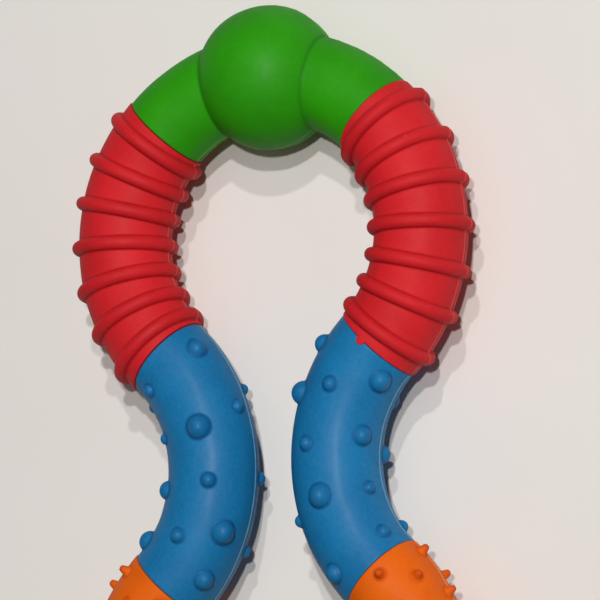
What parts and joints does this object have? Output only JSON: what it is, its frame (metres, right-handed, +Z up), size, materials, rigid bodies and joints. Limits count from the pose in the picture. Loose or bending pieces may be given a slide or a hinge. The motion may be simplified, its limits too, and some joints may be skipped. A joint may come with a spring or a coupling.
{
  "type": "twisting segment loop toy",
  "caption": "Closed loop of curved tube segments with textured rubber sleeves that swivel against each other, so the loop twists and folds.",
  "frame": {"origin": "under the middle of the flat loop, at the height of the balls' lowest points", "axes": "+Y from the middle of the loop towards the top ball, +Z up, square to the loop's plane, +X towards the right arm"},
  "size_m": [0.1284, 0.2748, 0.043],
  "materials": {
    "green_rubber": "soft matte",
    "red_rubber": "soft matte",
    "blue_rubber": "soft matte",
    "orange_rubber": "soft matte",
    "core_plastic": "matte moulded",
    "pin_plastic": "smooth moulded"
  },
  "bodies": {
    "top_green": {"top_green_sleeve": "green_rubber", "top_green_core_upper": "core_plastic", "top_green_core_lower": "core_plastic", "green_red_left_pin": "pin_plastic", "green_red_right_pin": "pin_plastic"},
    "left_red": {"left_red_sleeve": "red_rubber", "left_red_core_upper": "core_plastic", "left_red_core_lower": "core_plastic", "red_blue_left_pin": "pin_plastic"},
    "left_blue": {"left_blue_sleeve": "blue_rubber", "left_blue_core_upper": "core_plastic", "left_blue_core_lower": "core_plastic", "blue_orange_left_pin": "pin_plastic"},
    "left_orange": {"left_orange_sleeve": "orange_rubber", "left_orange_core_upper": "core_plastic", "left_orange_core_lower": "core_plastic", "orange_green_left_pin": "pin_plastic"},
    "bottom_green": {"bottom_green_sleeve": "green_rubber", "bottom_green_core_upper": "core_plastic", "bottom_green_core_lower": "core_plastic", "orange_green_right_pin": "pin_plastic"},
    "right_orange": {"right_orange_sleeve": "orange_rubber", "right_orange_core_upper": "core_plastic", "right_orange_core_lower": "core_plastic"},
    "right_blue": {"right_blue_sleeve": "blue_rubber", "right_blue_core_upper": "core_plastic", "right_blue_core_lower": "core_plastic", "blue_orange_right_pin": "pin_plastic"},
    "right_red": {"right_red_sleeve": "red_rubber", "right_red_core_upper": "core_plastic", "right_red_core_lower": "core_plastic", "red_blue_right_pin": "pin_plastic"}
  },
  "joints": [
    {"name": "green_red_left_swivel", "type": "hinge", "parent": "top_green", "child": "left_red", "pos_m": [-0.03394, 0.10182, 0.0215], "axis": [-0.7071, -0.7071, 0], "range_deg": [-40, 40]},
    {"name": "red_blue_left_swivel", "type": "hinge", "parent": "left_red", "child": "left_blue", "pos_m": [-0.03394, 0.03394, 0.0215], "axis": [0.7071, -0.7071, 0], "range_deg": [-17.5, 17.5]},
    {"name": "blue_orange_left_swivel", "type": "hinge", "parent": "left_blue", "child": "left_orange", "pos_m": [-0.03394, -0.03394, 0.0215], "axis": [-0.7071, -0.7071, 0], "range_deg": [-17.5, 17.5]},
    {"name": "orange_green_left_swivel", "type": "hinge", "parent": "left_orange", "child": "bottom_green", "pos_m": [-0.03394, -0.10182, 0.0215], "axis": [0.7071, -0.7071, 0], "range_deg": [-40, 40]},
    {"name": "green_red_right_swivel", "type": "hinge", "parent": "top_green", "child": "right_red", "pos_m": [0.03394, 0.10182, 0.0215], "axis": [-0.7071, 0.7071, 0], "range_deg": [-40, 40]},
    {"name": "red_blue_right_swivel", "type": "hinge", "parent": "right_red", "child": "right_blue", "pos_m": [0.03394, 0.03394, 0.0215], "axis": [0.7071, 0.7071, 0], "range_deg": [-17.5, 17.5]},
    {"name": "blue_orange_right_swivel", "type": "hinge", "parent": "right_blue", "child": "right_orange", "pos_m": [0.03394, -0.03394, 0.0215], "axis": [-0.7071, 0.7071, 0], "range_deg": [-17.5, 17.5]}
  ],
  "couplings": [
    {"joint": "red_blue_left_swivel", "follows": "green_red_left_swivel", "ratio": 0.425},
    {"joint": "blue_orange_left_swivel", "follows": "green_red_left_swivel", "ratio": -0.425},
    {"joint": "orange_green_left_swivel", "follows": "green_red_left_swivel", "ratio": -1},
    {"joint": "green_red_right_swivel", "follows": "green_red_left_swivel", "ratio": 1},
    {"joint": "red_blue_right_swivel", "follows": "green_red_left_swivel", "ratio": 0.425},
    {"joint": "blue_orange_right_swivel", "follows": "green_red_left_swivel", "ratio": -0.425}
  ]
}
